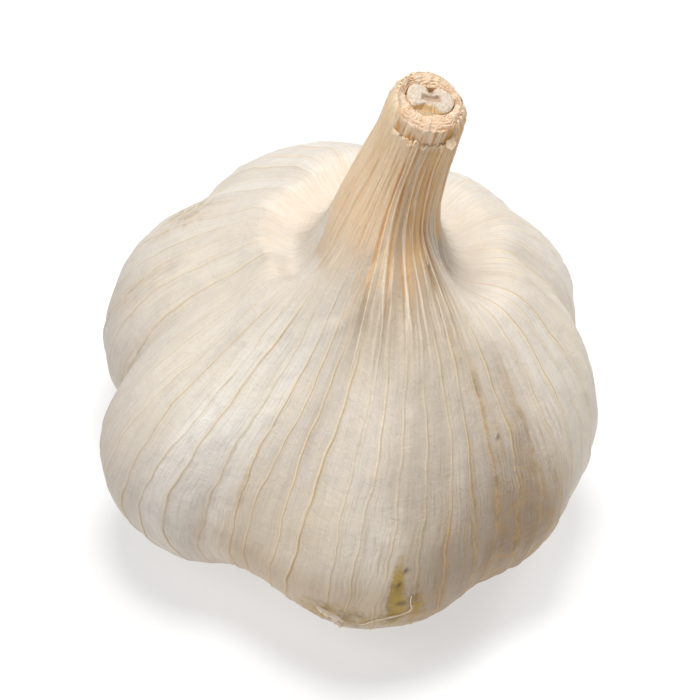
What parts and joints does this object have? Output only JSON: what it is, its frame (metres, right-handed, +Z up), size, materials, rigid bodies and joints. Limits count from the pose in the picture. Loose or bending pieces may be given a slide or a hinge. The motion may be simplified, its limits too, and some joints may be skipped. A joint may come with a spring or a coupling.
{
  "type": "garlic bulb",
  "caption": "Whole dry garlic bulb with a lobed papery wrapper, fine raised veins, a leaning pleated neck cut across the top, and a flat root plate to stand on.",
  "frame": {"origin": "middle of the flat spot under the root plate, on the surface that the bulb rests on", "axes": "+Z up from the root plate to the neck, -Y the front with the torn edge of the neck's skin, +X the side that the neck leans to"},
  "size_m": [0.0595, 0.0657, 0.0697],
  "materials": {
    "papery_skin": "satin",
    "dry_sheath": "matte",
    "inner_leaf": "matte",
    "root_wood": "matte"
  },
  "bodies": {
    "root": {"bulb_wrapper": "papery_skin", "neck_sheaths": "dry_sheath", "neck_core": "inner_leaf", "root_plate": "root_wood"}
  },
  "joints": []
}
